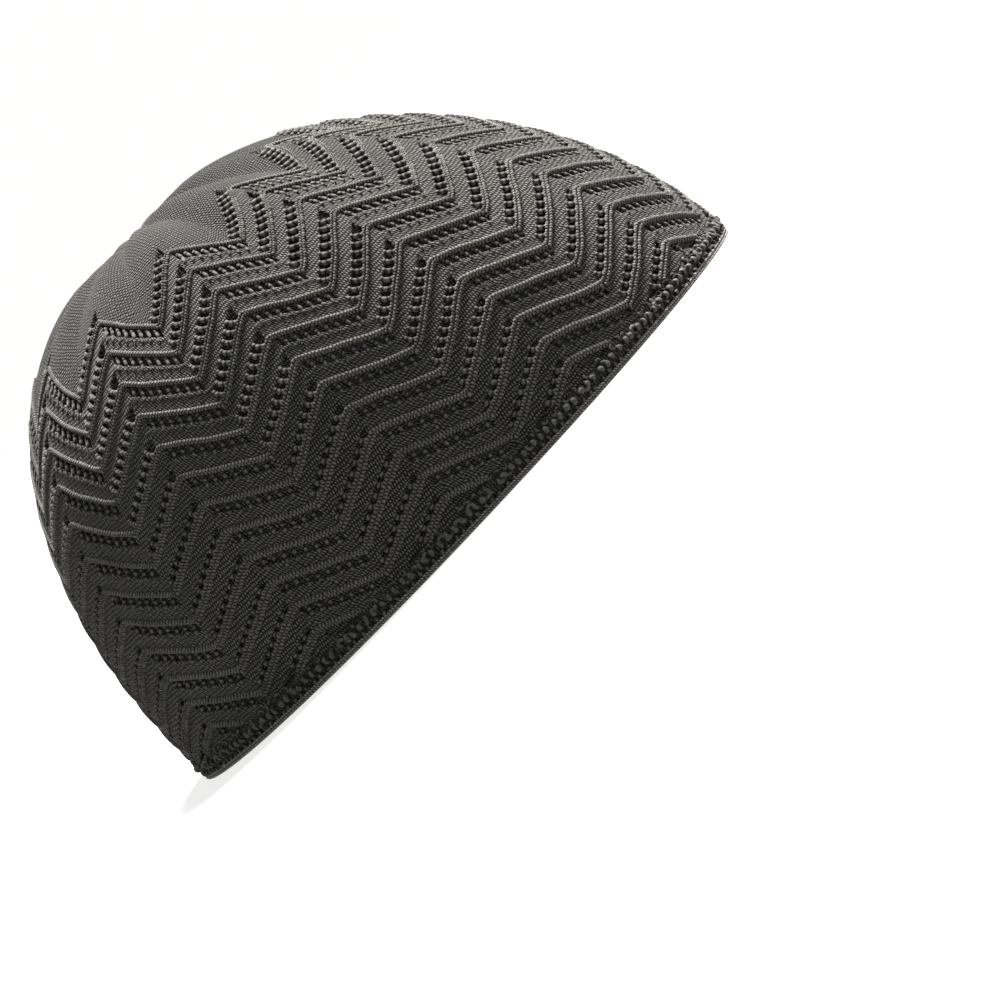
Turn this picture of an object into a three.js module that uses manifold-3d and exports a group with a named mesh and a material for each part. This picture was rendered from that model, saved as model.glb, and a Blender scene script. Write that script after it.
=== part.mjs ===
// A knitted kufi: a lace skullcap with a plain star crown, zigzag ribs, a bobble border and a corded rim.
// Lengths are in millimetres. X points to the front, Y to the left and Z up; the cap rests on Z = 0.
import * as THREE from 'three';
import { mergeVertices } from 'three/addons/utils/BufferGeometryUtils.js';
import Module from 'manifold-3d';

// The cap as worn
const CAP_LENGTH = 195; // rim, front to back
const CAP_WIDTH = 147; // rim, side to side
const CAP_HEIGHT = 113; // rim to the top of the dome
const WIDEST_BACK = 8; // the rim is widest this far behind its middle
const CROWN_BACK = 10; // the gores meet this far behind its middle
const RIM_SQUARENESS = 2.1; // exponent of the rim's egg shape, where 2 is an ellipse

// How full the dome's outline is in each direction, where 2 is an ellipse
const FULLNESS = { front: 1.87, side: 2.35, back: 2.25 };
const FULLNESS_BLEND = 1.5;

// The knit
const KNIT_WALL = 1.6;
const SEAM_GAP = 0.3; // clear space between two pieces
const RIB_RISE = 0.7; // how far a zigzag rib stands proud
const RIB_WIDTH = 2.6; // from foot to foot
const EYELET_DIP = 0.5; // depth of the eyelet row beside a rib
const TEETH = 11; // zigzags around the cap
const RIBS = 12; // zigzag rows from the crown to the border
const TOOTH_PHASE = 1 / 3; // where the first valley stands behind the cap, as a share of a tooth
const TOOTH_STRETCH = 0.01; // the right side is stretched less than the left, as a share of the rim

// Rows as shares of the way from the rim, 0, to the crown's centre, 1
const STAR_EDGE = 0.675;
const LAST_RIB = 0.04;
const RIB_CROWDING = 0.152; // how much closer the ribs lie at the border than at the crown
const SWING = { crown: 0.048, border: 0.035 }; // half the height of a zigzag
const WALL_FOOT = -0.03; // the lace is made down to here, and the border cuts it

// The crown's folds
const GORE_DEPTH = 3.2;
const GORE_START = 0.3; // share of the way up at which the valleys begin
const GORE_FULL = 0.76;
const GORE_MEAN = 0.64; // mean of the gores' rounded profile, taken off so that they keep the cap's size
const CROWN_DIP = 3.5;
const CROWN_DIP_REACH = 17;

// The border and the rim
const CORD_HEIGHT = 2.6;
const CORD_DEPTH = 2;
const BORDER_TOP = 6.4;
const BOBBLE_BULGE = 0.9;

// How finely the faces follow the form
const COLUMNS_PER_TOOTH = 6;
const COLUMNS = TEETH * COLUMNS_PER_TOOTH;
const RIM_SAMPLES = 1440;
const PROFILE_SAMPLES = 240;
const INNER_ROWS = 7;
const CROWN_ROWS = 7;
const CROWN_SHARES = { last: 0.965, crowding: 1.15 };
const TINY = 1e-3;

const wasm = await Module();
wasm.setup();

const lerp = THREE.MathUtils.lerp;
const smooth = THREE.MathUtils.smoothstep;
const EMPTY = [];

// Distance from the crown's centre line to the rim in direction phi
function rimReach(phi) {
  const frontHalf = CAP_LENGTH / 2 + WIDEST_BACK;
  const backHalf = CAP_LENGTH / 2 - WIDEST_BACK;
  const outside = (reach) => {
    const x = reach * Math.cos(phi) - CROWN_BACK + WIDEST_BACK;
    const y = reach * Math.sin(phi);
    const half = x > 0 ? frontHalf : backHalf;
    const across = Math.abs(x / half) ** RIM_SQUARENESS;
    return across + Math.abs(y / (CAP_WIDTH / 2)) ** RIM_SQUARENESS > 1;
  };
  let near = 0;
  let far = CAP_LENGTH;
  while (far - near > TINY * TINY) {
    const middle = (near + far) / 2;
    if (outside(middle)) far = middle;
    else near = middle;
  }
  return near;
}

// Directions at equal steps along the rim, from the back over the right side to the front and round
function rimDirections() {
  const lengths = [0];
  const phis = [-Math.PI];
  let last = null;
  for (let i = 0; i <= RIM_SAMPLES; i += 1) {
    const phi = -Math.PI + (2 * Math.PI * i) / RIM_SAMPLES;
    const reach = rimReach(phi);
    const point = new THREE.Vector2(reach * Math.cos(phi), reach * Math.sin(phi));
    if (last) {
      lengths.push(lengths.at(-1) + point.distanceTo(last));
      phis.push(phi);
    }
    last = point;
  }
  return { lengths, phis, total: lengths.at(-1) };
}

const RIM = rimDirections();

function interpolate(x, xs, ys) {
  let low = 0;
  let high = xs.length - 1;
  while (high - low > 1) {
    const middle = (low + high) >> 1;
    if (xs[middle] > x) high = middle;
    else low = middle;
  }
  return lerp(ys[low], ys[high], (x - xs[low]) / (xs[high] - xs[low]));
}

// Direction of a place around the cap, counted in teeth from the first valley
function directionOf(teeth) {
  const around = THREE.MathUtils.euclideanModulo((teeth + TOOTH_PHASE) / TEETH, 1);
  const share = around + TOOTH_STRETCH * (Math.cos(2 * Math.PI * around) - 1);
  return interpolate(THREE.MathUtils.euclideanModulo(share, 1) * RIM.total, RIM.lengths, RIM.phis);
}

function fullness(phi) {
  const end = Math.cos(phi) > 0 ? FULLNESS.front : FULLNESS.back;
  return lerp(FULLNESS.side, end, Math.abs(Math.cos(phi)) ** FULLNESS_BLEND);
}

// One line from the rim to the crown's centre, with its lengths, so that places on it are found by share
function makeMeridian(phi) {
  const reach = rimReach(phi);
  const power = 2 / fullness(phi);
  const lengths = [0];
  const radii = [reach];
  const heights = [0];
  for (let i = 1; i <= PROFILE_SAMPLES; i += 1) {
    const angle = (Math.PI / 2) * (i / PROFILE_SAMPLES);
    radii.push(i === PROFILE_SAMPLES ? 0 : reach * Math.cos(angle) ** power);
    heights.push(CAP_HEIGHT * Math.sin(angle) ** power);
    lengths.push(lengths.at(-1) + Math.hypot(radii[i] - radii[i - 1], heights[i] - heights[i - 1]));
  }
  return { phi, reach, radii, heights, lengths, total: lengths.at(-1) };
}

// Radius, height and outward direction at a share of the meridian; below the rim it runs straight down
function onMeridian(line, share) {
  const at = (s) => {
    const length = THREE.MathUtils.clamp(s, 0, 1) * line.total;
    const radius = interpolate(length, line.lengths, line.radii);
    const height = interpolate(length, line.lengths, line.heights);
    return new THREE.Vector2(radius, height + Math.min(s, 0) * line.total);
  };
  const step = 0.01;
  const along = at(Math.min(share + step, 1)).sub(at(Math.min(share, 1) - step));
  return { place: at(share), normal: new THREE.Vector2(along.y, -along.x).normalize() };
}

// Height of the folds over the dome; valleys run down from the crown's centre at the teeth's valleys
function goreOffset(line, share, teeth) {
  const profile = Math.abs(Math.sin(Math.PI * teeth)) - GORE_MEAN;
  const width = ((1 - share) * line.total * 2 * Math.PI) / TEETH;
  const depth = Math.min(GORE_DEPTH * smooth(share, GORE_START, GORE_FULL), width / 4);
  const radius = (1 - share) * line.total;
  return depth * profile - CROWN_DIP * Math.exp(-((radius / CROWN_DIP_REACH) ** 2));
}

// A point of the cap: direction in teeth, share of the way up, and height over the fabric's face
function capPoint(column, share, offset) {
  const { place, normal } = onMeridian(column.line, share);
  const lift = offset + goreOffset(column.line, Math.min(share, 1), column.teeth);
  const radius = place.x + normal.x * lift;
  const { phi } = column.line;
  return new THREE.Vector3(
    radius * Math.cos(phi) - CROWN_BACK,
    radius * Math.sin(phi),
    place.y + normal.y * lift,
  );
}

const columns = Array.from({ length: COLUMNS }, (unused, i) => {
  const teeth = i / COLUMNS_PER_TOOTH;
  return { teeth, line: makeMeridian(directionOf(teeth)) };
});

// 0 in a tooth's valley, 1 at its peak
function zigzag(teeth) {
  const part = THREE.MathUtils.euclideanModulo(teeth, 1);
  return 1 - Math.abs(2 * part - 1);
}

// +1 where the zigzag climbs, -1 where it falls, 0 at its corners
function climb(teeth) {
  const part = THREE.MathUtils.euclideanModulo(teeth, 1);
  if (part < TINY || Math.abs(part - 0.5) < TINY || part > 1 - TINY) return 0;
  return part < 0.5 ? 1 : -1;
}

// Share of the way up at which a rib lies, with 0 the crown's edge and 1 the last rib
function ribShare(row, teeth) {
  const middle = LAST_RIB + (STAR_EDGE - LAST_RIB) * (1 - row) * (1 - RIB_CROWDING * row);
  return middle + lerp(SWING.crown, SWING.border, row) * (2 * zigzag(teeth) - 1);
}

// Faces between rings of points, each joined to the next and the last to the first or to the two poles
function solidOfRings(rings, poles = EMPTY) {
  const points = [...rings.flat(), ...poles];
  const around = rings[0].length;
  const faces = [];
  const last = poles.length ? rings.length - 1 : rings.length;
  for (let i = 0; i < last; i += 1) {
    const here = i * around;
    const next = ((i + 1) % rings.length) * around;
    for (let j = 0; j < around; j += 1) {
      const k = (j + 1) % around;
      faces.push(here + j, here + k, next + k, here + j, next + k, next + j);
    }
  }
  if (poles.length) {
    const first = rings.length * around;
    const end = (rings.length - 1) * around;
    for (let j = 0; j < around; j += 1) {
      const k = (j + 1) % around;
      faces.push(first, k, j, first + 1, end + j, end + k);
    }
  }
  return outward(points, faces);
}

function outward(points, faces) {
  let volume = 0;
  for (let i = 0; i < faces.length; i += 3) {
    const [a, b, c] = [points[faces[i]], points[faces[i + 1]], points[faces[i + 2]]];
    volume += a.dot(b.clone().cross(c));
  }
  const geometry = new THREE.BufferGeometry().setFromPoints(points);
  geometry.setIndex(volume > 0 ? faces : faces.toReversed());
  return geometry;
}

function ringAt(shareOf, offsetOf) {
  return columns.map((column) => capPoint(column, shareOf(column), offsetOf(column)));
}

function toSolid(geometry) {
  const bare = geometry.clone();
  bare.deleteAttribute('normal');
  bare.deleteAttribute('uv');
  const merged = mergeVertices(bare, TINY);
  const mesh = new wasm.Mesh({
    numProp: 3,
    vertProperties: new Float32Array(merged.attributes.position.array),
    triVerts: new Uint32Array(merged.index.array),
  });
  return new wasm.Manifold(mesh);
}

function toGeometry(solid) {
  const mesh = solid.getMesh();
  const geometry = new THREE.BufferGeometry();
  geometry.setAttribute('position', new THREE.BufferAttribute(mesh.vertProperties, 3));
  geometry.setIndex(new THREE.BufferAttribute(mesh.triVerts, 1));
  return geometry;
}

function yarn(colour, roughness) {
  return new THREE.MeshStandardMaterial({ color: colour, roughness, metalness: 0 });
}

const charcoal = yarn(0x3a3a37, 0.9);
const charcoalCord = yarn(0x343432, 0.88);

function piece(name, geometry, material) {
  const mesh = new THREE.Mesh(geometry, material);
  mesh.name = name;
  return mesh;
}

// Plain-knit star top: its lower edge follows the first rib, and its gores meet at the sunk centre
function makeCrown() {
  const edge = (column) =>
    ribShare(0, column.teeth) + (RIB_WIDTH / 2 + SEAM_GAP) / column.line.total;
  const shareAt = (row) => (column) => {
    const part = (row / (CROWN_ROWS - 1)) ** (1 / CROWN_SHARES.crowding);
    return lerp(edge(column), CROWN_SHARES.last, part);
  };
  const rows = Array.from({ length: CROWN_ROWS }, (unused, i) => i);
  const outer = rows.map((row) => ringAt(shareAt(row), () => 0));
  const inner = rows.map((row) => ringAt(shareAt(row), () => -KNIT_WALL));
  const centre = { teeth: 0, line: makeMeridian(0) };
  const poles = [capPoint(centre, 1, -KNIT_WALL), capPoint(centre, 1, 0)];
  return piece('crown', solidOfRings([...inner.toReversed(), ...outer], poles), charcoal);
}

// Lace wall: zigzag ribs with a sunken eyelet row above each climbing arm and below each falling one
function makeSideWall() {
  const footOf = (column) => RIB_WIDTH / 2 / column.line.total;
  const outer = [ringAt(() => WALL_FOOT, () => 0)];
  for (let rib = RIBS - 1; rib >= 0; rib -= 1) {
    const row = rib / (RIBS - 1);
    const shareOf = (column) => ribShare(row, column.teeth);
    const dip = (side) => (column) => (climb(column.teeth) === side ? -EYELET_DIP : 0);
    outer.push(ringAt((column) => shareOf(column) - footOf(column), dip(-1)));
    outer.push(ringAt(shareOf, () => RIB_RISE));
    outer.push(ringAt((column) => shareOf(column) + footOf(column), rib ? dip(1) : () => 0));
    if (rib) {
      const above = (rib - 1) / (RIBS - 1);
      const between = (column) => (shareOf(column) + ribShare(above, column.teeth)) / 2;
      outer.push(ringAt(between, () => 0));
    }
  }
  const inner = Array.from({ length: INNER_ROWS }, (unused, i) => {
    const row = i / (INNER_ROWS - 1);
    return ringAt(
      (column) => lerp(ribShare(0, column.teeth) + footOf(column), WALL_FOOT, row),
      () => -KNIT_WALL,
    );
  });
  const whole = toSolid(solidOfRings([...outer, ...inner]));
  const depth = CAP_HEIGHT;
  const under = new THREE.BoxGeometry(2 * CAP_LENGTH, 2 * CAP_WIDTH, depth);
  under.translate(0, 0, BORDER_TOP + SEAM_GAP - depth / 2);
  return piece('side_wall', toGeometry(whole.subtract(toSolid(under))), charcoal);
}

// A band around the rim from a closed profile of { out, up } places, out from the fabric's face
function rimBand(profile) {
  const pointAt = ({ line }, { out, up }) => {
    const radius = interpolate(up, line.heights, line.radii) + out;
    return new THREE.Vector3(radius * Math.cos(line.phi) - CROWN_BACK, radius * Math.sin(line.phi), up);
  };
  return solidOfRings(profile.map((corner) => columns.map((column) => pointAt(column, corner))));
}

// Bobble band: a fat roll of bobbles over a slim one
function makeBorderBand() {
  const low = CORD_HEIGHT + SEAM_GAP;
  const high = BORDER_TOP;
  const waist = lerp(low, high, 0.36);
  const profile = [
    { out: -KNIT_WALL, up: low },
    { out: 0, up: low },
    { out: BOBBLE_BULGE * 0.6, up: (low + waist) / 2 },
    { out: BOBBLE_BULGE * 0.1, up: waist },
    { out: BOBBLE_BULGE, up: lerp(waist, high, 0.3) },
    { out: BOBBLE_BULGE, up: lerp(waist, high, 0.7) },
    { out: 0, up: high },
    { out: -KNIT_WALL, up: high },
  ];
  return piece('border_band', rimBand(profile), charcoal);
}

// Rim cord: two strands side by side, flat underneath where the cap rests
function makeRimCord() {
  const strand = CORD_HEIGHT / 2;
  const outerFace = CORD_DEPTH - KNIT_WALL;
  const round = strand * 0.25;
  const profile = [
    { out: -KNIT_WALL + round, up: 0 },
    { out: outerFace - round, up: 0 },
    { out: outerFace, up: round },
    { out: outerFace, up: strand - round },
    { out: outerFace - round, up: strand },
    { out: outerFace, up: strand + round },
    { out: outerFace - round, up: CORD_HEIGHT },
    { out: -KNIT_WALL + round, up: CORD_HEIGHT },
    { out: -KNIT_WALL, up: CORD_HEIGHT - round },
    { out: -KNIT_WALL, up: round },
  ];
  return piece('rim_cord', rimBand(profile), charcoalCord);
}

const kufi = new THREE.Group();
kufi.add(makeCrown(), makeSideWall(), makeBorderBand(), makeRimCord());

export default kufi;
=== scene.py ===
import math

import bmesh
import bpy
import numpy as np
from mathutils import Matrix, Vector


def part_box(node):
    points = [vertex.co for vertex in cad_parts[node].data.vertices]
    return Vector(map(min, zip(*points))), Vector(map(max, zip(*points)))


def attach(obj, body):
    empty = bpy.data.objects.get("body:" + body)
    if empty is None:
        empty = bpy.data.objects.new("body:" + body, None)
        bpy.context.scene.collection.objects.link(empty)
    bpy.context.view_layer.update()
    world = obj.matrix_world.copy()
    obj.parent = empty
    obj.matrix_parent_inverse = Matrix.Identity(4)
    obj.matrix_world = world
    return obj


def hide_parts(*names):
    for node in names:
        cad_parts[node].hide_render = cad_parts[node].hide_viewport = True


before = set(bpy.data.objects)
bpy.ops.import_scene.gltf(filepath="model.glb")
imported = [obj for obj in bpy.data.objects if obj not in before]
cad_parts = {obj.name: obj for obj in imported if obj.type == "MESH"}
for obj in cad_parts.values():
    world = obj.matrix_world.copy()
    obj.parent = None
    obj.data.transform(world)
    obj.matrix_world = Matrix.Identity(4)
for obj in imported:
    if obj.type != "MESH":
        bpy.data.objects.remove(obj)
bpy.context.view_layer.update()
MM = 0.001

# The cap's form, as in the solids: the rim's size comes from the cord that lies on the floor
CORD_LOW, CORD_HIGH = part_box("rim_cord")
CORD_PROUD = 0.4 * MM  # how far the cord stands out from the fabric's face
RIM_HALF_LENGTH = (CORD_HIGH.x - CORD_LOW.x) / 2 - CORD_PROUD
RIM_HALF_WIDTH = (CORD_HIGH.y - CORD_LOW.y) / 2 - CORD_PROUD
BORDER_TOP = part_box("border_band")[1].z
DOME_HEIGHT = 113 * MM
WIDEST_BACK = 8 * MM  # the rim is widest this far behind its middle
CROWN_BACK = 10 * MM  # the gores meet this far behind its middle
RIM_SQUARENESS = 2.1  # exponent of the rim's egg shape, where 2 is an ellipse
KNIT_WALL = 1.3 * MM  # thickness of the sheet between its ribs

# How full the dome's outline is in each direction, where 2 is an ellipse
FULLNESS_FRONT, FULLNESS_SIDE, FULLNESS_BACK = 1.87, 2.35, 2.25
FULLNESS_BLEND = 1.5

# The zigzag pattern, as in the solids
TEETH = 11  # zigzags around the cap
RIBS = 12  # zigzag rows from the crown to the border
TOOTH_PHASE = 1 / 3  # where the first valley stands behind the cap, as a share of a tooth
TOOTH_STRETCH = 0.01  # the right side is stretched less than the left, as a share of the rim
STAR_EDGE = 0.675  # the first and the last rib, as shares of the way up
LAST_RIB = 0.04
RIB_CROWDING = 0.152  # how much closer the ribs lie at the border than at the crown
SWING_CROWN, SWING_BORDER = 0.048, 0.035  # half the height of a zigzag
CORNER_CROWN, CORNER_BORDER = 0.05, 0.16  # how far a corner is rounded, as a share of an arm

# Waves that pull the ribs off their line: how many go round the cap, and their phase from rib to rib
WOBBLE = ((17, 0.37), (31, 0.71), (47, 0.23))
WOBBLE_SIZE = 0.0005  # as a share of the way up

# The crown's folds, much as in the solids
GORE_DEPTH = 2.8 * MM
GORE_SOFTNESS = 0.22  # how far the valleys' lines are rounded
GORE_START, GORE_FULL = 0.3, 0.76  # shares of the way up between which the valleys deepen
GORE_MEAN = 0.64  # mean of the gores' profile, taken off so that they keep the cap's size
CROWN_DIP = 3.5 * MM
CROWN_DIP_REACH = 17 * MM

# The knit, counted in courses around the cap
EYELETS_PER_ARM = 9
COURSES_PER_EYELET = 3
COURSES_PER_ARM = EYELETS_PER_ARM * COURSES_PER_EYELET
COURSES_PER_TOOTH = 2 * COURSES_PER_ARM
COURSES = COURSES_PER_TOOTH * TEETH
STITCH = 1.08 * MM  # height of a plain stitch on the wall
CROWN_STITCH = 0.95 * MM

# How finely the dome is worked out before points on it are looked up
TABLE_COLUMNS = 1188
TABLE_ROWS = 500
TABLE_FOOT = -0.06  # share of the way up at which the tables begin, below the rim
RIM_SAMPLES = 2881
RIM_HALVINGS = 50
PROFILE_SAMPLES = 400


def smoothstep(x, low, high):
    part = np.clip((x - low) / (high - low), 0, 1)
    return part * part * (3 - 2 * part)


def mix(low, high, part):
    return low + (high - low) * part


def unit(vectors):
    return vectors / np.linalg.norm(vectors, axis=-1, keepdims=True)


def rim_reach(phi):
    """Distance from the crown's centre line to the rim in direction phi."""
    near = np.zeros_like(phi)
    far = np.full_like(phi, 2 * RIM_HALF_LENGTH)
    for _ in range(RIM_HALVINGS):
        middle = (near + far) / 2
        x = middle * np.cos(phi) - CROWN_BACK + WIDEST_BACK
        y = middle * np.sin(phi)
        half = np.where(x > 0, RIM_HALF_LENGTH + WIDEST_BACK, RIM_HALF_LENGTH - WIDEST_BACK)
        reach = np.abs(x / half) ** RIM_SQUARENESS + np.abs(y / RIM_HALF_WIDTH) ** RIM_SQUARENESS
        far = np.where(reach > 1, middle, far)
        near = np.where(reach > 1, near, middle)
    return near


def tooth_directions(teeth):
    """Direction of each place around the cap, counted in teeth from the first valley behind it."""
    phi = np.linspace(-math.pi, math.pi, RIM_SAMPLES)
    reach = rim_reach(phi)
    steps = np.hypot(np.diff(reach * np.cos(phi)), np.diff(reach * np.sin(phi)))
    shares = np.concatenate([[0], np.cumsum(steps)]) / steps.sum()
    around = (teeth + TOOTH_PHASE) / TEETH
    share = around + TOOTH_STRETCH * (np.cos(2 * math.pi * around) - 1)
    turns = np.floor(share)
    return np.interp(share - turns, shares, phi) + 2 * math.pi * turns


class Dome:
    """The smooth dome, kept as tables over teeth around the cap and shares of the way up."""

    def __init__(self):
        teeth = np.linspace(0, TEETH, TABLE_COLUMNS + 1)
        shares = np.linspace(TABLE_FOOT, 1, TABLE_ROWS)
        self.phi = tooth_directions(teeth)
        reach = rim_reach(self.phi)
        cosine = np.cos(self.phi)
        end = np.where(cosine > 0, FULLNESS_FRONT, FULLNESS_BACK)
        fullness = FULLNESS_SIDE + (end - FULLNESS_SIDE) * np.abs(cosine) ** FULLNESS_BLEND
        angle = np.linspace(0, math.pi / 2, PROFILE_SAMPLES)
        self.radius = np.zeros((len(teeth), TABLE_ROWS))
        self.height = np.zeros((len(teeth), TABLE_ROWS))
        self.length = np.zeros(len(teeth))
        for i, power in enumerate(2 / fullness):
            radii = reach[i] * np.cos(angle) ** power
            radii[-1] = 0
            heights = DOME_HEIGHT * np.sin(angle) ** power
            steps = np.hypot(np.diff(radii), np.diff(heights))
            lengths = np.concatenate([[0], np.cumsum(steps)])
            self.length[i] = lengths[-1]
            at = np.clip(shares, 0, 1) * lengths[-1]
            below = np.minimum(shares, 0) * lengths[-1]
            self.radius[i] = np.interp(at, lengths, radii)
            self.height[i] = np.interp(at, lengths, heights) + below
        along_r = np.gradient(self.radius, axis=1)
        along_z = np.gradient(self.height, axis=1)
        size = np.hypot(along_r, along_z)
        self.normal_r, self.normal_z = along_z / size, -along_r / size

    def column(self, teeth):
        """The table's column before each place, and how far beyond it the place lies."""
        place = np.mod(teeth, TEETH) / TEETH * TABLE_COLUMNS
        low = np.minimum(place.astype(int), TABLE_COLUMNS - 1)
        return low, place - low

    def meridian(self, teeth):
        """Length of the line from the rim to the crown's centre."""
        low, part = self.column(np.asarray(teeth, float))
        return mix(self.length[low], self.length[low + 1], part)

    def points(self, teeth, share, lift):
        """Points of the cap at teeth and share, lifted outward from the fabric's face."""
        values = (np.asarray(value, float) for value in (teeth, share, lift))
        teeth, share, lift = np.broadcast_arrays(*values)
        low, part = self.column(teeth)
        row = (np.clip(share, TABLE_FOOT, 1) - TABLE_FOOT) / (1 - TABLE_FOOT) * (TABLE_ROWS - 1)
        under = np.minimum(row.astype(int), TABLE_ROWS - 2)
        rise = row - under

        def look(table):
            first = mix(table[low, under], table[low, under + 1], rise)
            return mix(first, mix(table[low + 1, under], table[low + 1, under + 1], rise), part)

        phi = mix(self.phi[low], self.phi[low + 1], part)
        total = lift + self.folds(teeth, share)
        radius = look(self.radius) + look(self.normal_r) * total
        height = look(self.height) + look(self.normal_z) * total
        x = radius * np.cos(phi) - CROWN_BACK
        return np.stack([x, radius * np.sin(phi), height], -1)

    def folds(self, teeth, share):
        """Height of the gores and of the dip where they meet."""
        left = (1 - np.clip(share, 0, 1)) * self.meridian(teeth)
        profile = np.hypot(np.sin(math.pi * teeth), GORE_SOFTNESS) - GORE_MEAN
        gore_width = left * 2 * math.pi / TEETH
        depth = np.minimum(GORE_DEPTH * smoothstep(share, GORE_START, GORE_FULL), gore_width / 4)
        return depth * profile - CROWN_DIP * np.exp(-((left / CROWN_DIP_REACH) ** 2))

    def normals(self, teeth, share):
        """Outward directions of the folded dome."""
        step = 0.004
        across = self.points(teeth + step, share, 0) - self.points(teeth - step, share, 0)
        up = self.points(teeth, share + step, 0) - self.points(teeth, share - step, 0)
        return unit(np.cross(across, up))


dome = Dome()


def zigzag(teeth, rounding):
    """0 in a tooth's valley, 1 at its peak, with corners rounded by a share of an arm."""
    from_peak = np.abs(2 * np.mod(teeth, 1) - 1)
    return (1 - np.sqrt(from_peak**2 + rounding**2) + np.sqrt((1 - from_peak) ** 2 + rounding**2)) / 2


def climbs(teeth):
    """Whether the zigzag climbs there, from its valley to its peak."""
    return np.mod(teeth, 1) < 0.5


def rib_share(rib, teeth):
    """Share of the way up at which a rib's middle lies; rib 0 is the crown's edge."""
    row = rib / (RIBS - 1)
    middle = LAST_RIB + (STAR_EDGE - LAST_RIB) * (1 - row) * (1 - RIB_CROWDING * row)
    for waves, phase in WOBBLE:
        middle = middle + WOBBLE_SIZE * np.sin(2 * math.pi * (waves * teeth / TEETH + phase * (rib + 1)))
    rounding = mix(CORNER_CROWN, CORNER_BORDER, row)
    return middle + mix(SWING_CROWN, SWING_BORDER, row) * (2 * zigzag(teeth, rounding) - 1)


def rib_slope(rib, teeth):
    """Width of one course and the cosine of the rib's slope at each place along it."""
    share = rib_share(rib, teeth)
    quarter = 0.25 / COURSES_PER_ARM
    step = dome.points(teeth + quarter, share, 0) - dome.points(teeth - quarter, share, 0)
    width = np.linalg.norm(step, axis=-1)
    run = width * COURSES_PER_ARM
    row = rib / (RIBS - 1)
    rise = 2 * mix(SWING_CROWN, SWING_BORDER, row) * dome.meridian(teeth)
    return width, run / np.hypot(run, rise)


class Mesh:
    """Collects points, faces and stitch coordinates, and makes one object of them."""

    def __init__(self):
        self.points = []
        self.faces = []
        self.stitches = []
        self.count = 0  # of all points
        self.last = 0  # the first of the points that were added last

    def add(self, points, faces, stitches):
        """Add points, faces over them, and a stitch coordinate for each corner of each face."""
        points = np.asarray(points, float).reshape(-1, 3)
        self.points.append(points)
        self.faces.append(faces + self.count)
        self.stitches.append(stitches)
        self.last = self.count
        self.count += len(points)

    def extend(self, faces):
        """Add faces, without a layout, over the points that were added last."""
        self.faces.append(faces + self.last)
        self.stitches.append(np.zeros(faces.shape + (2,)))

    def make(self, name, material):
        """One smooth-shaded object with its faces turned outward and no loose points."""
        points = np.concatenate(self.points)
        loops = np.concatenate([faces.ravel() for faces in self.faces])
        sizes = np.concatenate([np.full(len(faces), faces.shape[1]) for faces in self.faces])
        stitches = np.concatenate([corners.reshape(-1, 2) for corners in self.stitches])
        mesh = bpy.data.meshes.new(name)
        mesh.vertices.add(len(points))
        mesh.vertices.foreach_set("co", points.astype(np.float32).ravel())
        mesh.loops.add(len(loops))
        mesh.loops.foreach_set("vertex_index", loops.astype(np.int32))
        mesh.polygons.add(len(sizes))
        mesh.polygons.foreach_set("loop_start", (np.cumsum(sizes) - sizes).astype(np.int32))
        mesh.polygons.foreach_set("loop_total", sizes.astype(np.int32))
        mesh.polygons.foreach_set("use_smooth", np.ones(len(sizes), bool))
        layer = mesh.uv_layers.new(name="Stitches")
        layer.uv.foreach_set("vector", stitches.astype(np.float32).ravel())
        mesh.update(calc_edges=True)
        mesh.validate()
        clean = bmesh.new()
        clean.from_mesh(mesh)
        loose = [point for point in clean.verts if not point.link_faces]
        bmesh.ops.delete(clean, geom=loose, context="VERTS")
        bmesh.ops.recalc_face_normals(clean, faces=clean.faces)
        clean.to_mesh(mesh)
        clean.free()
        mesh.materials.append(material)
        piece = bpy.data.objects.new(name, mesh)
        bpy.context.scene.collection.objects.link(piece)
        return piece


def grid_faces(rows, columns, closed_rows=False):
    """Four-cornered faces over a grid of points whose columns close to a ring, facing up the rows."""
    i, j = np.meshgrid(
        np.arange(rows if closed_rows else rows - 1),
        np.arange(columns),
        indexing="ij",
    )
    below = i * columns
    above = (i + 1) % rows * columns
    right = (j + 1) % columns
    return np.stack([below + j, below + right, above + right, above + j], -1)


def add_rolls(mesh, points, layout):
    """Closed rolls from rings of points, where layout gives the stitches for the faces of one roll."""
    count, rings, sides = points.shape[:3]
    first = (np.arange(count) * rings * sides)[:, None, None]
    one = grid_faces(rings, sides).reshape(-1, 4)
    mesh.add(points, (one + first).reshape(-1, 4), np.tile(layout(one), (count, 1, 1)))
    caps = np.stack([np.arange(sides)[::-1], (rings - 1) * sides + np.arange(sides)])
    mesh.extend((caps + first).reshape(-1, sides))


# The lace wall's sheet: where the two edges of an eyelet row lie, measured from the middle of its rib
SLIT_NEAR = 0.9 * MM
SLIT_NEARER = 0.5 * MM  # how much nearer it starts on the falling arms
SLIT_FAR = 2.6 * MM
SLIT_WIDER = 0.3 * MM  # how much farther it reaches on the falling arms
SLIT_PULL = 0.2 * MM  # how far the yarn between two eyelets draws the edges in
SLIT_DEPTH = 1.0 * MM
FIELD_ROWS = 3  # rows of points in the plain knit between two eyelet rows
FIELD_PUFF = 0.2 * MM
TUCK = 1.2 * MM  # how far the wall reaches down behind the border

# The crown's stretch reaches in full down to the first of these ribs, and is gone from the second
STRETCH_FULL, STRETCH_GONE = 2, 9
STRETCHED_WIDER = 0.85 * MM  # how much wider it makes the eyelet rows of climbing arms
STRETCHED_RIB = 0.76  # how thick it leaves the ribs, as a share

# A face's sides: the step to its neighbour, along its rows (axis 0) or columns (1), and the two corners
FACE_SIDES = (
    # step, axis, corners
    (-1, 0, (0, 1)),
    (1, 0, (2, 3)),
    (-1, 1, (3, 0)),
    (1, 1, (1, 2)),
)


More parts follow.
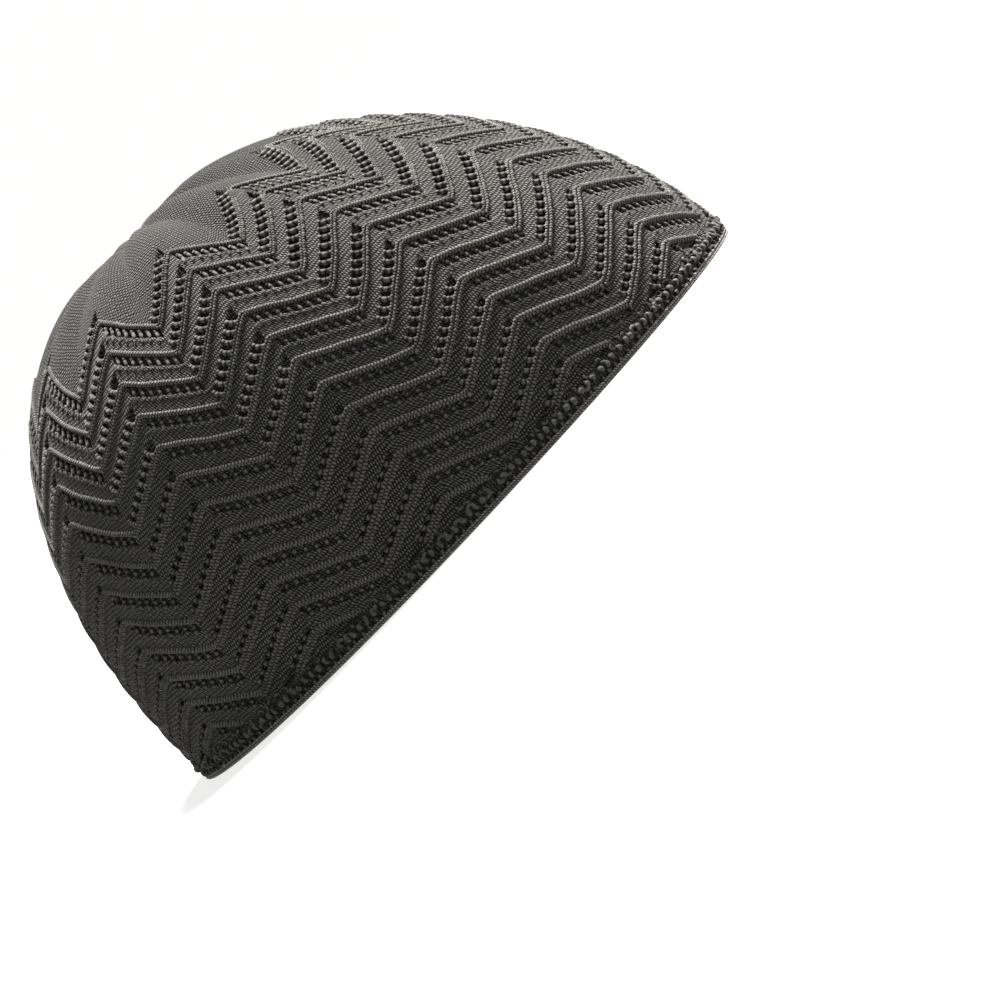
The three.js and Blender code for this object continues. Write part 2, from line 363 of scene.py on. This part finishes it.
def stretched(rib):
    """How much of the crown's stretch reaches a rib: 1 at the crown, 0 near the border."""
    return 1 - smoothstep(rib, STRETCH_FULL, STRETCH_GONE)


def slit_edges(rib, teeth, down):
    """Shares of the near and the far edge of the eyelet row beside a rib."""
    course = np.round(np.mod(teeth, 0.5) * COURSES_PER_TOOTH).astype(int)
    pull = np.where(course % COURSES_PER_EYELET == 0, SLIT_PULL, 0)
    side = (-1 if down else 1) / rib_slope(rib, teeth)[1] / dome.meridian(teeth)
    middle = rib_share(rib, teeth)
    near = (SLIT_NEAR - SLIT_NEARER * down) * mix(1, STRETCHED_RIB, stretched(rib))
    far = SLIT_FAR + (SLIT_WIDER if down else STRETCHED_WIDER * stretched(rib))
    return middle + (near + pull) * side, middle + (far - pull) * side


def open_courses():
    """Which courses carry eyelets, and which lie on a climbing arm."""
    middle = (np.arange(COURSES) + 0.5) / COURSES_PER_TOOTH
    course = np.floor(np.mod(middle, 0.5) * COURSES_PER_TOOTH)
    return (course > 0) & (course < COURSES_PER_ARM - 1), climbs(middle)


def add_sheet(mesh, teeth, shares, puffs, slit, stitches):
    """A closed sheet over rows of shares, sunk where slit is set, and left out behind the border."""
    rows, columns = shares.shape
    outer = dome.points(teeth, shares, puffs)
    inner = dome.points(teeth, shares, puffs - KNIT_WALL)
    sunk = dome.points(teeth, shares, puffs - SLIT_DEPTH)
    to_inner = rows * columns
    to_sunk = 2 * to_inner
    faces = grid_faces(rows, columns)
    high = outer[..., 2] > BORDER_TOP - TUCK
    high = high[1:] | high[:-1]
    kept = high & np.roll(high, -1, 1)
    level = np.where(slit & kept, to_sunk, 0)
    every = [faces[kept] + to_inner, (faces + level[..., None])[kept][:, ::-1]]
    # A side goes from a face's own layer to its neighbour's, or to the inner one where the sheet ends
    for step, axis, (first, second) in FACE_SIDES:
        other, beside = np.roll(level, -step, axis), np.roll(kept, -step, axis)
        if axis == 0:
            beside[0 if step < 0 else -1] = False
        other = np.where(beside, other, to_inner)
        wall = kept & (other != level) & ((level == 0) | ~beside)
        a, b = faces[wall][:, first], faces[wall][:, second]
        here, there = level[wall], other[wall]
        every.append(np.stack([a + here, b + here, b + there, a + there], -1))
    every = np.concatenate(every)
    row, column = every % to_inner // columns, every % columns
    course = column.astype(float)
    wrap = (course.max(1) - course.min(1) > columns / 2)[:, None]
    course = np.where(wrap & (course < columns / 2), course + columns, course)
    points = np.concatenate([layer.reshape(-1, 3) for layer in (outer, inner, sunk)])
    mesh.add(points, every, stitches(shares[row, column], column, course))


def add_lace_band(mesh, rib):
    """One zigzag band of knit from a rib down to the next, with its rows of eyelets."""
    teeth = np.arange(COURSES) / COURSES_PER_TOOTH
    near, far = slit_edges(rib, teeth, True)
    low_near, low_far = slit_edges(rib + 1, teeth, False)
    shares, puffs = [rib_share(rib, teeth), near, far], [0, 0, 0]
    for i in range(1, FIELD_ROWS + 1):
        part = i / (FIELD_ROWS + 1)
        shares.append(mix(far, low_far, part))
        puffs.append(FIELD_PUFF * math.sin(math.pi * part))
    shares = np.stack(shares + [low_far, low_near, rib_share(rib + 1, teeth)])
    puffs = np.array(puffs + [0, 0, 0])[:, None]
    has_eyelets, climbing = open_courses()
    slit = np.zeros((len(shares) - 1, COURSES), bool)
    slit[1] = has_eyelets & ~climbing
    slit[-2] = has_eyelets & climbing

    def wall_stitches(share, column, course):
        return np.stack([course, share * dome.meridian(teeth)[column] / STITCH], -1)

    add_sheet(mesh, teeth, shares, puffs, slit, wall_stitches)


# A rib's section: across from its middle, and up from the fabric at a stitch's fat part and between two
RIB_SECTION = np.array([
    # across, fat, thin
    (-1.05, -0.40, -0.40),
    (-1.15, 0.25, 0.16),
    (-0.96, 0.70, 0.50),
    (-0.56, 0.98, 0.74),
    (-0.20, 0.66, 0.40),
    (0.00, 0.05, 0.05),
    (0.20, 0.66, 0.40),
    (0.56, 0.98, 0.74),
    (0.96, 0.70, 0.50),
    (1.15, 0.25, 0.16),
    (1.05, -0.40, -0.40),
]) * MM
# The same on the falling arms, where one strand lies over the other
RIB_FALLING = np.array([
    # across, fat, thin
    (-0.55, -0.40, -0.40),
    (-0.62, 0.12, 0.05),
    (-0.50, 0.40, 0.30),
    (-0.32, 0.60, 0.48),
    (-0.10, 0.72, 0.60),
    (0.12, 0.80, 0.64),
    (0.38, 0.84, 0.68),
    (0.66, 0.78, 0.60),
    (0.96, 0.56, 0.38),
    (1.15, 0.20, 0.10),
    (1.05, -0.40, -0.40),
]) * MM
RIB_CORNERS = len(RIB_SECTION)
RIB_STEPS = 2 * COURSES  # a fat and a thin ring for each course
RIB_SWELL = 0.1  # how much fatter a climbing rib is where a bar joins it
RIB_WALE = 0.25  # width of the rib's stitches in the layout, for each step across

# In teeth: a falling arm's middle, and how far from it the arm's own section is in full and gone
FALLING_MIDDLE = 0.75
FALLING_FULL, FALLING_GONE = 0.2, 0.28

# A rib dives behind the border between these heights, by this depth
DIVE_LOW, DIVE_HIGH = BORDER_TOP - 1.2 * MM, BORDER_TOP + 0.8 * MM
DIVE_DEPTH = 1.6 * MM


def add_rib(mesh, rib):
    """A rib of two strands side by side, beaded by its stitches, along the whole zigzag."""
    teeth = np.arange(RIB_STEPS) / (2 * COURSES_PER_TOOTH)
    share = rib_share(rib, teeth)
    middle = dome.points(teeth, share, 0)
    sunk = DIVE_DEPTH * (1 - smoothstep(middle[:, 2], DIVE_LOW, DIVE_HIGH))
    up = dome.normals(teeth, share)
    along = unit(np.roll(middle, -1, 0) - np.roll(middle, 1, 0))
    across = unit(np.cross(up, along))
    fat = (np.arange(RIB_STEPS)[:, None] + (RIB_SECTION[:, 0] > 0)) % 2 == 0
    course = np.arange(RIB_STEPS) / 2
    swell = 1 + RIB_SWELL * np.cos(2 * math.pi * course / COURSES_PER_EYELET) * climbs(teeth)
    swell *= mix(1, STRETCHED_RIB, stretched(rib))
    falling = smoothstep(np.abs(np.mod(teeth, 1) - FALLING_MIDDLE), FALLING_GONE, FALLING_FULL)
    section = mix(RIB_SECTION, RIB_FALLING, falling[:, None, None]) * swell[:, None, None]
    rise = np.where(fat, section[..., 1], section[..., 2]) - sunk[:, None]
    points = middle[:, None] + across[:, None] * section[..., :1] + up[:, None] * rise[:, :, None]
    faces = grid_faces(RIB_STEPS, RIB_CORNERS, closed_rows=True).reshape(-1, 4)
    row, column = faces // RIB_CORNERS, faces % RIB_CORNERS
    row = np.where((row.max(1) - row.min(1) > 1)[:, None] & (row == 0), RIB_STEPS, row)
    right = (column.max(1) > RIB_CORNERS // 2)[:, None]
    mesh.add(points, faces, np.stack([(row + right) / 2, column * RIB_WALE], -1))


# The bars of thick yarn between eyelets, each from under its rib over the eyelet row to the plain knit
BAR_START, BAR_END = 0.7 * MM, 3.5 * MM  # distance of their ends from the rib's middle
BAR_RADIUS = 0.79 * MM
BAR_STEPS = 6
BAR_SIDES = 6

# On a climbing arm: how far a bar sinks at its end, bows along the rib and turns from square to it
BAR_SINK = 0.4 * MM
BAR_CURVE = 0.65 * MM
BAR_TURN = 0.14

# On a falling arm: how far it leans from upright, how thick it is beside the others and how deep it starts
BAR_LEAN = 0.3
BAR_THIN = 0.65
BAR_DEEP = 0.45 * MM


def add_bars(mesh, rib):
    """The bars beside one rib: below its falling arms, and above its climbing ones."""
    number = np.arange(1, EYELETS_PER_ARM)
    teeth = (np.arange(2 * TEETH)[:, None] + number / EYELETS_PER_ARM).ravel()[:, None] / 2
    width, cosine = rib_slope(rib, teeth)
    sine = np.sqrt(1 - cosine**2)
    part = np.linspace(0, 1, BAR_STEPS)
    climbing = climbs(teeth)
    reach = mix(BAR_START, BAR_END + STRETCHED_WIDER * stretched(rib) * climbing, part)
    bow = BAR_CURVE * np.sin(math.pi * part)
    back = np.where(climbing, reach * (sine - BAR_TURN) + bow, BAR_LEAN * reach * sine - bow / 2)
    rise = np.where(climbing, reach * cosine, -reach / cosine - BAR_LEAN * reach * sine**2 / cosine)
    place = teeth - back / width / COURSES_PER_TOOTH
    share = rib_share(rib, teeth) + rise / dome.meridian(teeth)
    lift = np.where(climbing, -BAR_SINK * part**2, -BAR_DEEP * (1 - part) ** 2)
    middle = dome.points(place, share, lift)
    shown = middle[..., 2].min(1) > BORDER_TOP
    radius = np.where(climbing, BAR_RADIUS, BAR_RADIUS * BAR_THIN)
    if shown.any():
        add_tubes(mesh, middle[shown], dome.normals(place, share)[shown], radius[shown], BAR_SIDES)


TUBE_TAPER = 0.3  # how much thinner a tube's end is than its start


def add_tubes(mesh, middle, up, radius, sides, beads=0.5):
    """A closed tube along each row of points, with beads for each step of its layout."""
    along = unit(np.gradient(middle, axis=1))
    across = unit(np.cross(up, along))
    outward = np.cross(along, across)
    angle = np.arange(sides) * 2 * math.pi / sides
    taper = 1 - TUBE_TAPER * np.linspace(0, 1, middle.shape[1]) ** 2
    ring = across[:, :, None] * np.cos(angle)[:, None] + outward[:, :, None] * np.sin(angle)[:, None]
    points = middle[:, :, None] + ring * (radius * taper)[..., None, None]

    def layout(one):
        around = np.where((one % sides == 0) & (np.arange(4) % 3 > 0), sides, one % sides)
        return np.stack([one // sides * beads, around / sides], -1)

    add_rolls(mesh, points, layout)


# The crown's sheet, and how its stitches lie in each gore
CROWN_ROWS = 44
CROWN_CROWDING = 0.9  # exponent by which its rows lie closer towards the centre
CROWN_LAST = 0.02 * MM  # how near the crown's last row comes to its centre
CROWN_LEAN = 0.35  # how far its courses lean within each gore
GORE_BEND = 0.45  # the dome slopes by this angle this far from its centre, which narrows the gores
GORE_BEND_REACH = 60 * MM


def add_crown(mesh):
    """The star of plain knit, from the first rib up to the sunk centre, as one closed sheet."""
    teeth = np.arange(COURSES) / COURSES_PER_TOOTH
    near, far = slit_edges(0, teeth, False)
    last = 1 - CROWN_LAST / dome.meridian(teeth)
    part = np.linspace(0, 1, CROWN_ROWS)[:, None]
    shares = np.concatenate([[rib_share(0, teeth), near], mix(far, last, part**CROWN_CROWDING)])
    has_eyelets, climbing = open_courses()
    slit = np.zeros((len(shares) - 1, COURSES), bool)
    slit[1] = has_eyelets & climbing

    def gore_stitches(share, column, course):
        left = (1 - share) * dome.meridian(teeth)[column]
        gore = np.floor(course.mean(1) / COURSES_PER_TOOTH)[:, None]
        swing = course / COURSES_PER_TOOTH - gore - 0.5
        across = swing * 2 * math.pi / TEETH * left * np.cos(GORE_BEND * left / GORE_BEND_REACH)
        return np.stack([across + CROWN_LEAN * left, left - CROWN_LEAN * across], -1) / CROWN_STITCH

    add_sheet(mesh, teeth, shares, np.zeros((len(shares), 1)), slit, gore_stitches)


def share_at(teeth, height):
    """Share of the way up at which the wall reaches a height near the rim, found in three steps."""
    share = height / dome.meridian(teeth)
    for _ in range(3):
        share = share * height / dome.points(teeth, share, 0)[..., 2]
    return share


RING_FOOT = 0.4 * MM  # points of a ring below this height stand as far out as the wall does here


def add_ring(mesh, section, waves, lean=0):
    """A closed roll round the rim from a section of (height, lift) points."""
    teeth = np.arange(COURSES) * TEETH / COURSES
    heights = section[:, 0, None] + 0 * teeth
    share = share_at(teeth, np.maximum(heights, RING_FOOT))
    points = dome.points(teeth, share, section[:, 1, None])
    points[..., 2] = heights
    faces = grid_faces(len(section), COURSES, closed_rows=True).reshape(-1, 4)
    row, column = faces // COURSES, faces % COURSES
    row = np.where((row.max(1) - row.min(1) > 1)[:, None] & (row == 0), len(section), row)
    column = np.where((column.max(1) - column.min(1) > 1)[:, None] & (column == 0), COURSES, column)
    mesh.add(points, faces, np.stack([column + row * lean, row * waves], -1))


# The border's bobbles, which differ by chance within these limits
BOBBLES = COURSES // COURSES_PER_EYELET
BOBBLE_RINGS, BOBBLE_SIDES = 7, 10
BOBBLE_WANDER = 0.18  # along the rim, as a share of the space between two
BOBBLE_STRAY = 0.25 * MM  # up or down the wall
BOBBLE_TURN = 0.5  # in radians
BOBBLE_SIZES = (0.8, 1.12)  # smallest and largest, as a share of the radius
BOBBLE_SHAPE = (1, 0.86, 0.8)  # along the rim, up the wall and out
CREASE_DEPTH, CREASE_WIDTH = 0.2, 0.35  # the crease round a bobble's middle
BOBBLE_STRAND = 0.7  # how far its shading reaches across the strand


def knot_places(teeth, height, lift):
    """Places near the rim, with the directions along it, up the wall and out of the wall."""
    share = share_at(teeth, height)
    step = 0.01
    out = dome.normals(teeth, share)
    along = unit(dome.points(teeth + step, share, lift) - dome.points(teeth - step, share, lift))
    return dome.points(teeth, share, lift), along, np.cross(out, along), out


def add_bobbles(mesh, height, radius, lift, shift, chance):
    """A row of small knots round the border, no two quite alike."""
    teeth = (np.arange(BOBBLES) + shift) * TEETH / BOBBLES
    teeth = teeth + chance.uniform(-BOBBLE_WANDER, BOBBLE_WANDER, BOBBLES) * TEETH / BOBBLES
    heights = height + chance.uniform(-BOBBLE_STRAY, BOBBLE_STRAY, BOBBLES)
    middle, along, across, out = knot_places(teeth, heights, lift)
    turn = chance.uniform(-BOBBLE_TURN, BOBBLE_TURN, BOBBLES)[:, None]
    first = along * np.cos(turn) + across * np.sin(turn)
    size = radius * chance.uniform(*BOBBLE_SIZES, (BOBBLES, 3)) * BOBBLE_SHAPE
    directions = np.stack([first, np.cross(out, first), out], 1) * size[:, :, None]
    tilt = np.linspace(0, math.pi, BOBBLE_RINGS + 2)[1:-1, None]
    spin = np.arange(BOBBLE_SIDES) * 2 * math.pi / BOBBLE_SIDES
    crease = 1 - CREASE_DEPTH * np.exp(-((np.cos(spin) / CREASE_WIDTH) ** 2)) * np.sin(tilt) ** 2
    ball = np.stack([
        crease * np.sin(tilt) * np.cos(spin),
        crease * np.sin(tilt) * np.sin(spin),
        np.cos(tilt) + 0 * spin,
    ], -1)
    points = middle[:, None, None] + np.einsum("rsa,bac->brsc", ball, directions)
    strand = BOBBLE_STRAND * (np.sin(tilt) * np.cos(spin)).ravel()

    def layout(one):
        return np.stack([strand[one], np.full(one.shape, 0.5)], -1)

    add_rolls(mesh, points, layout)


# The yarn loops over the bobbles, with limits of the same kinds
LOOP_STEPS, LOOP_SIDES = 7, 6
LOOP_WANDER = 0.15
LOOP_STRAY = 0.3 * MM
LOOP_SIZES = (0.75, 1.1)
LOOP_BEND = 1.9  # half the angle that a loop turns through
LOOP_RISE = 0.35  # how far its middle stands out, as a share of its size
LOOP_YARN = 0.5  # the yarn's radius, as a share of the loop's size
LOOP_BEADS = 0.08


def add_loops(mesh, height, size, lift, amount, chance):
    """Curled yarn loops over that share of the bobbles, each turned its own way."""
    place = np.flatnonzero(chance.uniform(0, 1, BOBBLES) < amount)
    count = len(place)
    teeth = (place + chance.uniform(-LOOP_WANDER, LOOP_WANDER, count)) * TEETH / BOBBLES
    heights = height + chance.uniform(-LOOP_STRAY, LOOP_STRAY, count)
    middle, along, across, out = knot_places(teeth, heights, lift)
    bend = np.linspace(-LOOP_BEND, LOOP_BEND, LOOP_STEPS)
    sweep = chance.uniform(0, 2 * math.pi, count)[:, None] + bend
    reach = size * chance.uniform(*LOOP_SIZES, count)[:, None, None]
    ring = along[:, None] * np.cos(sweep)[..., None] + across[:, None] * np.sin(sweep)[..., None]
    path = middle[:, None] + reach * (ring + out[:, None] * LOOP_RISE * np.cos(bend)[:, None])
    outward = np.broadcast_to(out[:, None], path.shape)
    add_tubes(mesh, path, outward, LOOP_YARN * size, LOOP_SIDES, LOOP_BEADS)


class Shader:
    """A material, built node by node."""

    def __init__(self, name):
        self.material = bpy.data.materials.new(name)
        self.material.use_nodes = True
        self.tree = self.material.node_tree
        self.surface = self.tree.nodes["Principled BSDF"]

    def node(self, kind, inputs=(), **settings):
        node = self.tree.nodes.new(kind)
        for key, value in settings.items():
            setattr(node, key, value)
        for key, value in dict(inputs).items():
            self.put(node.inputs[key], value)
        return node

    def put(self, socket, value):
        if hasattr(value, "is_output"):
            self.tree.links.new(value, socket)
        else:
            socket.default_value = value

    def dress(self, values):
        """Give the surface its values, by the names of its sockets."""
        for key, value in values.items():
            self.put(self.surface.inputs[key], value)

    def math(self, operation, *values):
        return self.node("ShaderNodeMath", enumerate(values), operation=operation).outputs[0]

    def wave(self, value, kind="SINE"):
        """Absolute sine or cosine with one crest for each unit of value."""
        return self.math("ABSOLUTE", self.math(kind, self.math("MULTIPLY", value, math.pi)))

    def noise(self, vector, scale, detail):
        values = {"Vector": vector, "Scale": scale, "Detail": detail}
        return self.node("ShaderNodeTexNoise", values).outputs[0]

    def blend(self, part, first, second):
        """Mix two colours, whose sockets come after those for numbers and vectors."""
        ramp = self.node("ShaderNodeMix", data_type="RGBA")
        self.put(ramp.inputs[0], part)
        self.put(ramp.inputs[6], first)
        self.put(ramp.inputs[7], second)
        return ramp.outputs[2]

    def bump(self, values):
        return self.node("ShaderNodeBump", values).outputs[0]


# The plain stitches: rows for each course, so that each arm has whole rows
ROW_SHARE = 10 / 9
ROW_SLANT = 0.5  # how far a row moves on with each stitch
LEAN_FALLING, LEAN_CLIMBING = -0.1, 0.5  # how far a stitch leans in its row
DASH_FALLING, DASH_CLIMBING = 0.58, 0.75  # how deep the gaps between one row's stitches are

# The twisted strands: how flat their beads are, and how deep the line between two plies is, in bump and in
# painted shade
BEAD_FLATNESS = 0.7
PLY_DEPTH = 0.25

# Noises, with their scale over one metre and their detail
WANDER_NOISE = (420.0, 1.0)
WANDER = 1.2  # how far stitches stray, in stitches
FIBRE_NOISE = (5200.0, 3.0)
FIBRE_RELIEF, FIBRE_STRENGTH = 0.06 * MM, 0.5
PATCH_NOISES = ((60.0, 3.0), (900.0, 0.0))

# How tone and roughness follow from a noise: the share of it, and what is added
PATCH_TONE = (0.6, 0.4)
FIBRE_TONE = (0.5, 0.75)
FIBRE_ROUGHNESS = (0.2, 0.74)
# Painted shade between the stitches: how fast the colour turns to the gaps' dark colour as the stitch
# height falls
GAP_SHADE_POWER = 2.0  # how fast the colour turns to the gaps' colour


def plain_stitches(shader, arm_course, course, wale):
    """Height of plain knit, whose stitches lean and part by the arm that they are on."""
    slant = shader.math("MULTIPLY_ADD", wale, ROW_SLANT, shader.math("MULTIPLY", course, ROW_SHARE))
    tilt = shader.math("SUBTRACT", 0.5, shader.math("FRACT", wale))
    arm = shader.math("FRACT", shader.math("DIVIDE", arm_course, COURSES_PER_TOOTH))
    climbing = shader.math("LESS_THAN", arm, 0.5)
    lean = shader.math("MULTIPLY_ADD", climbing, LEAN_CLIMBING - LEAN_FALLING, LEAN_FALLING)
    row = shader.wave(shader.math("MULTIPLY_ADD", tilt, lean, slant))
    deep = shader.math("MULTIPLY_ADD", climbing, DASH_CLIMBING - DASH_FALLING, DASH_FALLING)
    gap = shader.math("MULTIPLY", shader.math("SUBTRACT", 1.0, shader.wave(wale)), deep)
    return shader.math("MULTIPLY", row, shader.math("SUBTRACT", 1.0, gap))


def twisted_strand(shader, course, wale, twist):
    """Height of a strand that is beaded by its courses and twisted of plies."""
    beads = shader.math("POWER", shader.wave(course, "COSINE"), BEAD_FLATNESS)
    ply = shader.wave(shader.math("ADD", shader.math("MULTIPLY", course, twist), wale))
    return shader.math("MULTIPLY", beads, shader.math("MULTIPLY_ADD", ply, PLY_DEPTH, 1 - PLY_DEPTH))


def knit(name, light, gap_shade, relief, twist=0):
    """Yarn with stitches from the Stitches layout: plain knit, or a twisted strand if twist is set; the
    gaps between stitches get a painted shade.
    """
    shader = Shader(name)
    place = shader.node("ShaderNodeTexCoord").outputs["Object"]
    layout = shader.node("ShaderNodeUVMap", uv_map="Stitches").outputs[0]
    split = shader.node("ShaderNodeSeparateXYZ", {0: layout})
    stray = shader.math("SUBTRACT", shader.noise(place, *WANDER_NOISE), 0.5)
    drift = shader.math("MULTIPLY", stray, WANDER)
    course = shader.math("ADD", split.outputs[0], drift)
    wale = shader.math("ADD", split.outputs[1], drift)
    if twist:
        height = twisted_strand(shader, course, wale, twist)
    else:
        height = plain_stitches(shader, split.outputs[0], course, wale)
    fibre = shader.noise(place, *FIBRE_NOISE)
    patch = shader.math("ADD", *(shader.noise(place, *values) for values in PATCH_NOISES))
    shade = shader.math("MULTIPLY_ADD", patch, *PATCH_TONE)
    tone = shader.math("MULTIPLY", shade, shader.math("MULTIPLY_ADD", fibre, *FIBRE_TONE))
    # Painted shade: the yarn's colour darkens to the gaps' colour where the stitches are low
    yarn = shader.blend(shader.math("POWER", height, GAP_SHADE_POWER), (*gap_shade, 1), (*light, 1))
    stitches = shader.bump({"Height": height, "Distance": relief, "Strength": 1.0})
    fuzz = {"Height": fibre, "Distance": FIBRE_RELIEF, "Strength": FIBRE_STRENGTH, "Normal": stitches}
    shader.dress({
        "Base Color": shader.node("ShaderNodeHueSaturation", {"Color": yarn, "Value": tone}).outputs[0],
        "Roughness": shader.math("MULTIPLY_ADD", fibre, *FIBRE_ROUGHNESS),
        "Sheen Weight": 0.03,
        "Sheen Roughness": 0.45,
        "Specular IOR Level": 0.05,
        "Normal": shader.bump(fuzz),
    })
    return shader.material


# The yarns: colour, the painted shade in the gaps between stitches, relief and twist
# Painted shade: the crown's yarn is set darker than the wall's, to hold down the key light that falls most
# on the top
CROWN_YARN_SHADED = knit("CrownKnitShaded", (0.0462, 0.0453, 0.0418), (0.0006, 0.0006, 0.0006), 0.55 * MM)
WALL_YARN = knit("WallKnit", (0.0725, 0.0714, 0.0664), (0.0006, 0.0006, 0.0006), 0.5 * MM)
RIB_YARN = knit("RibYarn", (0.065, 0.0639, 0.0593), (0.002, 0.002, 0.0018), 0.2 * MM, 0.5)
# Painted shade: the bars' yarn is darker than the ribs', for the shade in their recess under the ribs
BAR_YARN_SHADED = knit("BarYarnShaded", (0.054, 0.0531, 0.0493), (0.0015, 0.0015, 0.0013), 0.2 * MM, 0.5)
# Painted shade: the band is darker than the bobbles' yarn, for the shade in the gaps between the knots
BAND_YARN_SHADED = knit("BandYarnShaded", (0.03, 0.0295, 0.028), (0.001, 0.001, 0.001), 0.25 * MM, 0.5)
BORDER_YARN = knit("BorderYarn", (0.056, 0.0553, 0.0525), (0.002, 0.002, 0.0018), 0.3 * MM, 0.1)
# Painted light: the cord's yarn is set more than twice as light as the wall's, for light that reaches the
# rim from below
CORD_YARN_LIT = knit("CordYarnLit", (0.16, 0.156, 0.145), (0.008, 0.008, 0.0075), 0.15 * MM, 0.5)


def finish(mesh, name, material, node):
    """Make the piece that stands for a node of the solids, attached to the root body, and hide that node's
    part.
    """
    piece = mesh.make(name, material)
    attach(piece, "root")
    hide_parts(node)


crown = Mesh()
add_crown(crown)
finish(crown, "StarTop", CROWN_YARN_SHADED, "crown")

# The wall, in groups of ribs so that no piece has too many triangles
RIBS_PER_GROUP = 4
for group in range(RIBS // RIBS_PER_GROUP):
    sheet, cords, bars = Mesh(), Mesh(), Mesh()
    for rib in range(group * RIBS_PER_GROUP, (group + 1) * RIBS_PER_GROUP):
        add_lace_band(sheet, rib)
        add_rib(cords, rib)
        add_bars(bars, rib)
    finish(sheet, f"LaceSheet{group + 1}", WALL_YARN, "side_wall")
    finish(cords, f"Ribs{group + 1}", RIB_YARN, "side_wall")
    finish(bars, f"EyeletBars{group + 1}", BAR_YARN_SHADED, "side_wall")

# The border's band, by heights over the floor and lifts from the fabric's face
BAND_SECTION = np.array([
    # height, lift
    (1.5, -0.9),
    (1.6, -0.45),
    (2.2, -0.1),
    (3.2, 0.2),
    (4.6, 0.2),
    (5.7, 0.0),
    (6.1, -0.7),
    (5.4, -1.75),
    (2.4, -1.75),
]) * MM
BAND_WAVES = 0.6  # plies for each step of its section
band = Mesh()
add_ring(band, BAND_SECTION, BAND_WAVES)
finish(band, "BorderBand", BAND_YARN_SHADED, "border_band")

# The knots and loops on it
BOBBLE_ROWS = (
    # height, radius, lift, shift as a share of the space between two
    (3.95 * MM, 1.32 * MM, 0.4 * MM, 0.5),
    (2.05 * MM, 0.82 * MM, 0.3 * MM, 0.0),
)
LOOP_ROWS = (
    # height, size, lift, share of the bobbles that have one
    (4.1 * MM, 1.0 * MM, 0.7 * MM, 0.3),
    (5.6 * MM, 0.7 * MM, 0.35 * MM, 0.7),
)
SEED = 11
knots = Mesh()
chance = np.random.default_rng(SEED)
for row in BOBBLE_ROWS:
    add_bobbles(knots, *row, chance)
for row in LOOP_ROWS:
    add_loops(knots, *row, chance)
finish(knots, "BorderBobbles", BORDER_YARN, "border_band")

# The rim cord's two strands, the lower of which lies on the floor
STRAND_HALF_HEIGHT, STRAND_HALF_DEPTH = 0.42 * MM, 0.8 * MM
STRAND_HEIGHTS = (STRAND_HALF_HEIGHT, 1.2 * MM)
STRAND_LIFT = -0.1 * MM
STRAND_SIDES = 8
STRAND_WAVES, STRAND_LEAN = 0.25, 0.25  # plies, and courses that the yarn leans, for each side
cord = Mesh()
turn = np.arange(STRAND_SIDES) * 2 * math.pi / STRAND_SIDES
for height in STRAND_HEIGHTS:
    heights = height + STRAND_HALF_HEIGHT * np.sin(turn)
    lifts = STRAND_LIFT + STRAND_HALF_DEPTH * np.cos(turn)
    add_ring(cord, np.stack([heights, lifts], -1), STRAND_WAVES, STRAND_LEAN)
finish(cord, "RimCord", CORD_YARN_LIT, "rim_cord")

# The floor glows a little, so that it is as white as the photo's background
WHITE = (1.0, 1.0, 0.995, 1)
FLOOR_SIZE = 12
bpy.ops.mesh.primitive_plane_add(size=FLOOR_SIZE, location=(0, 0, 0))
floor = bpy.context.object
floor.name = "Floor"
paper = Shader("Floor")
paper.dress({
    "Base Color": (0.07, 0.07, 0.0695, 1),
    "Roughness": 0.9,
    "Emission Color": WHITE,
    "Emission Strength": 0.75,
})
floor.data.materials.append(paper.material)

world = bpy.data.worlds.new("Studio")
bpy.context.scene.world = world
world.use_nodes = True
background = world.node_tree.nodes["Background"]
background.inputs["Color"].default_value = WHITE
background.inputs["Strength"].default_value = 1.0

# One soft key light from above, in front of the cap and on its far side
KEY_FROM = Vector((0.42, 0.27, 0.87))
key = bpy.data.lights.new("Key", "SUN")
key.energy = 44.5
key.color = (1.0, 0.97, 0.935)
key.angle = math.radians(20)
lamp = bpy.data.objects.new("Key", key)
lamp.rotation_euler = KEY_FROM.to_track_quat("Z", "Y").to_euler()
bpy.context.scene.collection.objects.link(lamp)

# The camera looks at the right side from a little above, rolled so that the rim slants as in the photo
CAMERA_DISTANCE = 1.5
CAMERA_RISE = math.radians(4.6)
CAMERA_ROLL = math.radians(46.57)
view = bpy.data.cameras.new("Camera")
view.lens = 207.9
view.sensor_width = 36
view.shift_x, view.shift_y = 0.033, 0.0035
view.clip_end = 30
camera = bpy.data.objects.new("Camera", view)
right = Vector((1, 0, 0))
up = Vector((0, math.sin(CAMERA_RISE), math.cos(CAMERA_RISE)))
back = Vector((0, -math.cos(CAMERA_RISE), math.sin(CAMERA_RISE)))
rolled_right = right * math.cos(CAMERA_ROLL) - up * math.sin(CAMERA_ROLL)
rolled_up = right * math.sin(CAMERA_ROLL) + up * math.cos(CAMERA_ROLL)
rotation = Matrix((rolled_right, rolled_up, back)).transposed().to_4x4()
camera.matrix_world = Matrix.Translation(back * CAMERA_DISTANCE) @ rotation
bpy.context.scene.collection.objects.link(camera)
bpy.context.scene.camera = camera
bpy.context.scene.view_settings.view_transform = "Standard"
